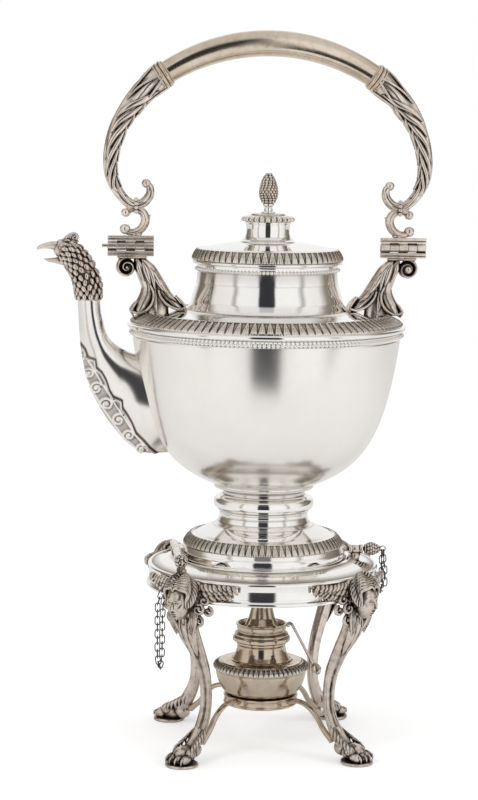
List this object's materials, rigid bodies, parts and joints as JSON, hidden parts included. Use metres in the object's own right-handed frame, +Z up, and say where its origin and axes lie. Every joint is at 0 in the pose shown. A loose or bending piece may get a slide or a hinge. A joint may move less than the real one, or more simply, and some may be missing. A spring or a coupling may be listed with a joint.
{
  "type": "samovar",
  "caption": "Silver spirit kettle with a bird-head spout and folding bail handle, tilting on a stand with masks, paw feet, chained pins and a spirit burner.",
  "frame": {"origin": "on the floor under the axis of the kettle and its stand", "axes": "+Z up, -X towards the spout, -Y towards the side with the hinge pin's pine cone head"},
  "size_m": [0.2457, 0.1742, 0.45],
  "materials": {
    "polished_silver": "polished",
    "cast_silver": "satin",
    "warm_silver": "satin",
    "dark_silver": "satin",
    "wick_cotton": "matte"
  },
  "bodies": {
    "stand": {"stand_ring": "polished_silver", "leg_front_left": "cast_silver", "leg_front_right": "cast_silver", "leg_back_right": "cast_silver", "leg_back_left": "cast_silver", "mask_front_left": "cast_silver", "mask_front_right": "cast_silver", "mask_back_right": "cast_silver", "mask_back_left": "cast_silver", "paw_front_left": "cast_silver", "paw_front_right": "cast_silver", "paw_back_right": "cast_silver", "paw_back_left": "cast_silver", "burner_cradle": "warm_silver", "cradle_stretchers": "warm_silver", "tilt_hinge_lugs": "polished_silver", "lock_lug": "polished_silver", "chain_anchors": "dark_silver"},
    "hinge_pin": {"tilt_hinge_pin": "cast_silver", "tilt_pin_chain": "dark_silver"},
    "lock_pin": {"lock_pin": "cast_silver", "lock_pin_chain": "dark_silver"},
    "kettle": {"bowl": "polished_silver", "shoulder": "polished_silver", "shoulder_leaf_border": "cast_silver", "bead_wires": "polished_silver", "foot_stem": "polished_silver", "foot_torus": "polished_silver", "foot_base": "polished_silver", "foot_leaf_border": "cast_silver", "foot_hinge_knuckle": "polished_silver", "spout_tube": "cast_silver", "spout_scroll_plaque": "cast_silver", "bird_head": "cast_silver", "handle_bracket_left": "cast_silver", "handle_bracket_right": "cast_silver", "lower_hinge_leaves": "polished_silver", "handle_hinge_pins": "polished_silver"},
    "lid": {"lid_cover": "polished_silver", "lid_leaf_border": "cast_silver", "lid_plug_flange": "polished_silver", "lid_knop": "polished_silver", "lid_gadroon_ring": "cast_silver", "pine_cone_finial": "cast_silver", "finial_nut": "polished_silver"},
    "handle": {"handle_grip": "warm_silver", "grip_collars": "warm_silver", "handle_arm_left": "cast_silver", "handle_arm_right": "cast_silver", "drop_scroll_left": "cast_silver", "drop_scroll_right": "cast_silver", "upper_hinge_leaves": "polished_silver"},
    "burner": {"burner_reservoir": "warm_silver", "burner_leaf_border": "warm_silver"},
    "burner_top": {"burner_neck": "warm_silver", "wick": "wick_cotton"},
    "regulator": {"regulator_dish": "warm_silver", "flame_cone": "warm_silver", "regulator_lever": "dark_silver"}
  },
  "joints": [
    {"name": "kettle_tilt", "type": "hinge", "parent": "stand", "child": "kettle", "pos_m": [-0.0554, 0, 0.126], "axis": [0, -1, 0], "range_deg": [0, 45]},
    {"name": "handle_swing", "type": "hinge", "parent": "kettle", "child": "handle", "pos_m": [0, 0, 0.3164], "axis": [1, 0, 0], "range_deg": [-90, 90]},
    {"name": "lid_lift", "type": "slide", "parent": "kettle", "child": "lid", "axis": [0, 0, 1], "range_m": [0, 0.03]},
    {"name": "hinge_pin_pull", "type": "slide", "parent": "stand", "child": "hinge_pin", "axis": [0, -1, 0], "range_m": [0, 0.06], "deforming": ["tilt_pin_chain"]},
    {"name": "lock_pin_pull", "type": "slide", "parent": "stand", "child": "lock_pin", "axis": [1, 0, 0], "range_m": [0, 0.012], "deforming": ["lock_pin_chain"]},
    {"name": "burner_lift", "type": "slide", "parent": "stand", "child": "burner", "axis": [0, 0, 1], "range_m": [0, 0.02]},
    {"name": "burner_top_lift", "type": "slide", "parent": "burner", "child": "burner_top", "axis": [0, 0, 1], "range_m": [0, 0.015]},
    {"name": "regulator_turn", "type": "hinge", "parent": "burner_top", "child": "regulator", "pos_m": [0, 0, 0.0655], "axis": [0, 0, 1], "range_deg": [-45, 45]}
  ]
}
